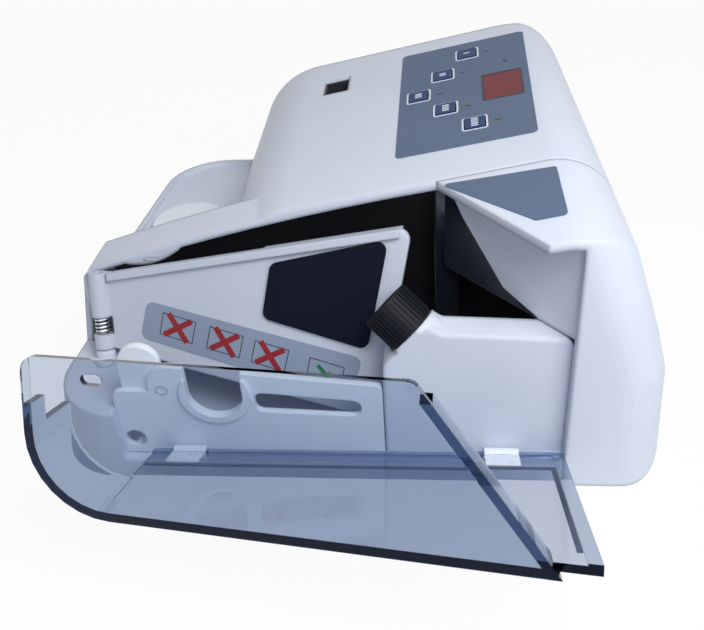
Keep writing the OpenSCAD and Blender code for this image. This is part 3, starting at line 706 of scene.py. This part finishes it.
@dataclass
class BayPaintedShade:
    """Thin black sheets at the right end of the note bay, where the moulded liner leaves off: painted
    shade, laid over the white walls there for the deep shade in that end of the bay.

    Args:
        thickness: Thickness of the lining in millimetres.
        slanted: Outline on the slanted wall, which its diagonal edge cuts.
        back: Outline on the back wall.
    """

    thickness: float = 0.3
    slanted: list[Point2] = field(default_factory=lambda: [
        (0.4, 62.4), (45.0, 62.4), (29.0, 66.8), (9.2, 86.0), (4.6, 92.0), (0.4, 92.0)])
    back: list[Point2] = field(default_factory=lambda: [
        (142.2, 8.0), (184.5, 8.0), (184.5, 88.0), (142.2, 88.0)])

    def build(self) -> None:
        """Sets both pieces on their walls."""
        # Both sheets are painted shade: black laid on the bay's white walls where shade falls.
        for name, face, outline, finish in (("slanted_painted_shade", SLANTED_WALL, self.slanted, DARK_LENS),
                                            ("back_painted_shade", BAY_BACK, self.back, LINER_ABS)):
            ThinPiece(name, face, outline, 0.0, self.thickness, finish, Body.HOUSING, "liner_black").build()


@dataclass
class SmallMouldings:
    """Small moulded details: the cover's ridge, drawn in painted shade, and its straps, marks on guard and
    rim, and the left end wall.

    Args:
        ridge: Outline of the ridge on the cover's sheet, beside the hinge and down the right end.
        ridge_t: Height of the ridge.
        strap_x: Middle of each hinge strap.
        strap: Width and length of a strap.
        strap_t: Thickness of a strap.
        strap_r: Corner radius of a strap.
        strap_gap: Distance of a strap from the hinge.
        oval: Centre and size of the oval on the rim's tab.
        recess: Centre and size of the mark on the guard.
        ring: Width of the line round both.
        proud: Height of both.
        end_wall: Outline of the left end wall between the base and the rim.
        end_wall_l: Length of that wall, back from its front edge.
    """

    ridge: list[Point2] = field(default_factory=lambda: [
        (39.5, -14.4), (182.4, -14.4), (182.4, -77.5), (180.7, -77.5), (180.7, -16.2), (39.5, -16.2)])
    ridge_t: float = 0.4
    strap_x: Point2 = (52.0, 165.0)
    strap: Point2 = (12.0, 9.0)
    strap_t: float = 0.5
    strap_r: float = 0.6
    strap_gap: float = 3.6
    oval: Spot = (35.0, 66.1, 7.0, 2.2)
    recess: Spot = (45.1, 38.7, 4.6, 4.2)
    ring: float = 0.45
    proud: float = 0.25
    end_wall: list[Point2] = field(default_factory=lambda: [
        (5.9, 49.0), (9.3, 49.0), (9.3, 61.9), (8.9, 61.7), (8.3, 60.9), (8.0, 59.9)])
    end_wall_l: float = 8.0

    def build(self) -> None:
        """Sets the details on their bodies."""
        # The ridge's navy is painted shade: the clear acrylic looks dark there only where the eye looks
        # along it.
        ThinPiece("cover_ridge_painted_shade", COVER_SHEET, self.ridge, 0.0, self.ridge_t, RIDGE_PAINTED_SHADE, Body.COVER,
                  "cover_smoke").build()
        w, h = self.strap
        for i, x in enumerate(self.strap_x, 1):
            outline = round_corners(rectangle(x, -self.strap_gap - h / 2, w, h), self.strap_r)
            ThinPiece(f"hinge_strap_{i}", COVER_SHEET, outline, 0.0, self.strap_t, CLIP_ABS, Body.COVER,
                      "shell_abs").build()
        for name, face, (a, b, wide, high) in (("rim_oval", RIM_TAB_FACE, self.oval),
                                               ("guard_mark", GUARD_FACE, self.recess)):
            ThinPiece(name, face, ellipse(a, b, wide, high), 0.0, self.proud, SHELL_ABS, Body.HOUSING,
                      "shell_abs", ellipse(a, b, wide - 2 * self.ring, high - 2 * self.ring)).build()
        ThinPiece("bay_end_wall", END_WALL_FACE, self.end_wall, -self.end_wall_l, 0.0, SHELL_ABS,
                  Body.HOUSING, "shell_abs").build()


@dataclass
class LoadingPictures:
    """Printed pictures on the paddle's label: notes set wrongly, crossed out, and one set well.

    Args:
        centres: Centre of each picture on the paddle's face.
        slope: Turn of the pictures in degrees.
        note: Width and height of a drawn note.
        line: Width of a drawn line.
        line_ink: Height of a drawn line above the film.
        bar: Length and width of each bar of a cross.
        bars: Name, turn in degrees and ink height of each bar.
        arrow_turn: Turn of the arrow from the picture in degrees.
        arrow_tail: Distance of the arrow's tail behind the centre.
        arrow_neck: Distance of its head's back edge in front of the centre.
        arrow_tip: Distance of its tip in front of the centre.
        arrow_shaft: Half the width of its shaft.
        arrow_head: Half the width of its head.
        arrow_ink: Height of the arrow above the film.
    """

    centres: list[Point2] = field(default_factory=lambda: [
        (31.2, -6.6), (49.7, -11.3), (67.2, -15.9), (88.1, -21.5)])
    slope: float = -14.5
    note: Point2 = (13.5, 9.0)
    line: float = 0.3
    line_ink: float = 0.06
    bar: Point2 = (13.0, 2.2)
    bars: tuple[tuple[str, float, float], ...] = (("rising", 40.0, 0.08), ("falling", -46.0, 0.1))
    arrow_turn: float = -35.0
    arrow_tail: float = 4.0
    arrow_neck: float = 0.6
    arrow_tip: float = 4.2
    arrow_shaft: float = 0.8
    arrow_head: float = 2.2
    arrow_ink: float = 0.08

    def build(self) -> None:
        """Prints the four pictures."""
        w, h = self.note
        for i, (a, b) in enumerate(self.centres, 1):
            PADDLE_FILM.print_piece(
                f"note_picture_{i}", rectangle(a, b, w, h, self.slope), self.line_ink, DARK_INK,
                rectangle(a, b, w - 2 * self.line, h - 2 * self.line, self.slope))
            if i < len(self.centres):
                self.cross(i, a, b)
            else:
                self.arrow(i, a, b)

    def cross(self, i: int, a: float, b: float) -> None:
        """Prints a red cross over a picture.

        Args:
            i: Number of the picture.
            a: First coordinate of its centre.
            b: Second coordinate of its centre.
        """
        for side, turn, ink in self.bars:
            PADDLE_FILM.print_piece(f"cross_{i}_{side}", rectangle(a, b, *self.bar, turn + self.slope), ink,
                                    RED_INK)

    def arrow(self, i: int, a: float, b: float) -> None:
        """Prints a green arrow on the last picture.

        Args:
            i: Number of the picture.
            a: First coordinate of its centre.
            b: Second coordinate of its centre.
        """
        lower = [(-self.arrow_tail, -self.arrow_shaft), (self.arrow_neck, -self.arrow_shaft),
                 (self.arrow_neck, -self.arrow_head)]
        upper = [(x, -y) for x, y in reversed(lower)]
        spin = Matrix.Rotation(math.radians(self.slope + self.arrow_turn), 2)
        points = [spin @ Vector(q) for q in (*lower, (self.arrow_tip, 0.0), *upper)]
        outline = [(a + p.x, b + p.y) for p in points]
        PADDLE_FILM.print_piece(f"arrow_{i}", outline, self.arrow_ink, GREEN_INK)


@dataclass(frozen=True)
class Lamp:
    """A square soft lamp that faces the part's origin.

    Args:
        name: Name of the lamp.
        place: Its place in metres.
        side: Side of the square in metres.
        power: Power in watts.
    """

    name: str
    place: Point3
    side: float
    power: float

    def build(self) -> None:
        """Hangs the lamp and turns it to the part."""
        data = bpy.data.lights.new(self.name, "AREA")
        data.size = self.side
        data.energy = self.power
        holder = bpy.data.objects.new(self.name, data)
        holder.location = self.place
        holder.rotation_euler = (-Vector(self.place)).to_track_quat("-Z", "Y").to_euler()
        bpy.context.collection.objects.link(holder)


@dataclass
class Studio:
    """Pale floor, soft lamps and the photograph's camera.

    Args:
        lens: Focal length in millimetres.
        sensor: Width of the sensor in millimetres.
        near: Nearest distance that the camera draws, in metres.
        eye: Camera's place, counted from the datum in millimetres.
        pitch: Angle down in degrees.
        yaw: Turn to the right in degrees.
        roll: Roll of the picture in degrees.
        sky: Strength of the even light from all round.
        sky_hue: Hex colour of that light.
        backdrop: Strength of the backdrop as the eye sees it.
        lamps: Key lamp, before the part on its right, and a weak fill from the left.
        floor_reach: Distance from the floor's middle to its edge in metres.
        floor_gap: Distance of the floor below the feet in metres.
        paper_glow: Share of the floor that the eye sees as blown-out white paper.
        glass_glow: What is left of that share through glass, under which the floor lies in shade.
    """

    lens: float = 46.1
    sensor: float = 36.0
    near: float = 0.01
    eye: Point3 = (145.0, -231.0, 246.0)
    pitch: float = 36.3
    yaw: float = -7.3
    roll: float = 4.4
    sky: float = 0.33
    sky_hue: str = "#f4f7fc"
    backdrop: float = 1.0
    lamps: tuple[Lamp, ...] = (Lamp("key_lamp", (0.17, -0.22, 0.38), 0.25, 1.55),
                               Lamp("fill_lamp", (-0.45, 0.1, 0.7), 0.6, 0.2))
    floor_reach: float = 6.0
    floor_gap: float = 0.0002
    paper_glow: float = 0.93
    glass_glow: float = 0.05

    def build(self) -> None:
        """Sets up the floor, the light and the camera."""
        bpy.context.scene.view_settings.view_transform = "Standard"
        self.floor()
        self.world()
        for lamp in self.lamps:
            lamp.build()
        self.camera()

    def floor(self) -> None:
        """Lays a wide pale floor under the feet."""
        bm = bmesh.new()
        bmesh.ops.create_grid(bm, x_segments=2, y_segments=2, size=self.floor_reach)
        mesh = bpy.data.meshes.new("floor")
        bm.to_mesh(mesh)
        bm.free()
        floor = bpy.data.objects.new("floor", mesh)
        floor.location.z = -self.floor_gap
        bpy.context.collection.objects.link(floor)
        mesh.materials.append(self.paper())

    def seen(self, tree: bpy.types.NodeTree, glass: float = 1.0) -> bpy.types.NodeSocket:
        """Gives a socket that is one for rays from the eye and from gloss, and less for rays through glass.

        Args:
            tree: Node tree of the floor or the world.
            glass: Value for rays through glass.

        Returns:
            The socket.
        """
        path = add_node(tree, "ShaderNodeLightPath")
        direct = add_node(tree, "ShaderNodeMath", None,
                          {0: path.outputs["Is Camera Ray"], 1: path.outputs["Is Glossy Ray"]},
                          operation="MAXIMUM")
        through = add_node(tree, "ShaderNodeMath", {1: glass}, {0: path.outputs["Is Transmission Ray"]},
                           operation="MULTIPLY")
        return add_node(tree, "ShaderNodeMath", None, {0: direct.outputs[0], 1: through.outputs[0]},
                        operation="MAXIMUM").outputs[0]

    def paper(self) -> bpy.types.Material:
        """Makes seamless paper that the eye and gloss see as nearly white, and that still takes a shadow.

        Returns:
            The floor's material.
        """
        mat = FLOOR_PAPER.material()
        tree = mat.node_tree
        out = next(n for n in tree.nodes if n.bl_idname == "ShaderNodeOutputMaterial")
        shader = out.inputs["Surface"].links[0].from_socket
        share = add_node(tree, "ShaderNodeMath", {1: self.paper_glow},
                         {0: self.seen(tree, self.glass_glow)}, operation="MULTIPLY")
        glow = add_node(tree, "ShaderNodeEmission", {"Color": hex_linear(WHITE), "Strength": self.backdrop})
        mix = add_node(tree, "ShaderNodeMixShader", None,
                       {0: share.outputs[0], 1: shader, 2: glow.outputs["Emission"]})
        tree.links.new(mix.outputs["Shader"], out.inputs["Surface"])
        return mat

    def world(self) -> None:
        """Sets an even sky, which the eye sees as a white backdrop."""
        world = bpy.data.worlds.new("studio")
        world.use_nodes = True
        tree = world.node_tree
        tree.nodes.clear()
        seen = self.seen(tree)
        glow = add_node(tree, "ShaderNodeMapRange", {"To Min": self.sky, "To Max": self.backdrop},
                        {"Value": seen})
        hue = add_node(tree, "ShaderNodeMix",
                       {MIX_FIRST: hex_linear(self.sky_hue), MIX_SECOND: hex_linear(WHITE)},
                       {MIX_FACTOR: seen}, data_type="RGBA")
        sky = add_node(tree, "ShaderNodeBackground", None,
                       {"Color": hue.outputs[MIX_RESULT], "Strength": glow.outputs["Result"]})
        add_node(tree, "ShaderNodeOutputWorld", None, {"Surface": sky.outputs["Background"]})
        bpy.context.scene.world = world

    def camera(self) -> None:
        """Places the camera at the photograph's viewing angle."""
        p, y, r = (math.radians(v) for v in (self.pitch, self.yaw, self.roll))
        ahead = Vector((math.sin(y) * math.cos(p), math.cos(y) * math.cos(p), -math.sin(p)))
        right = Vector((math.cos(y), -math.sin(y), 0.0))
        down = ahead.cross(right)
        across = math.cos(r) * right + math.sin(r) * down
        below = -math.sin(r) * right + math.cos(r) * down
        data = bpy.data.cameras.new("camera")
        data.lens = self.lens
        data.sensor_width = self.sensor
        data.clip_start = self.near
        cam = bpy.data.objects.new("camera", data)
        turn = Matrix((across, -below, -ahead)).transposed().to_4x4()
        cam.matrix_world = Matrix.Translation(build_point(*self.eye)) @ turn
        bpy.context.collection.objects.link(cam)
        bpy.context.scene.camera = cam


def main() -> None:
    """Builds the studio and dresses the counter, one sub-assembly after another."""
    logging.basicConfig(level=logging.INFO, format="%(name)s: %(message)s")
    Studio().build()
    Mouldings().dress()
    ControlPanel().build()
    BayPaintedShade().build()
    SmallMouldings().build()
    LoadingPictures().build()


if __name__ == "__main__":
    main()
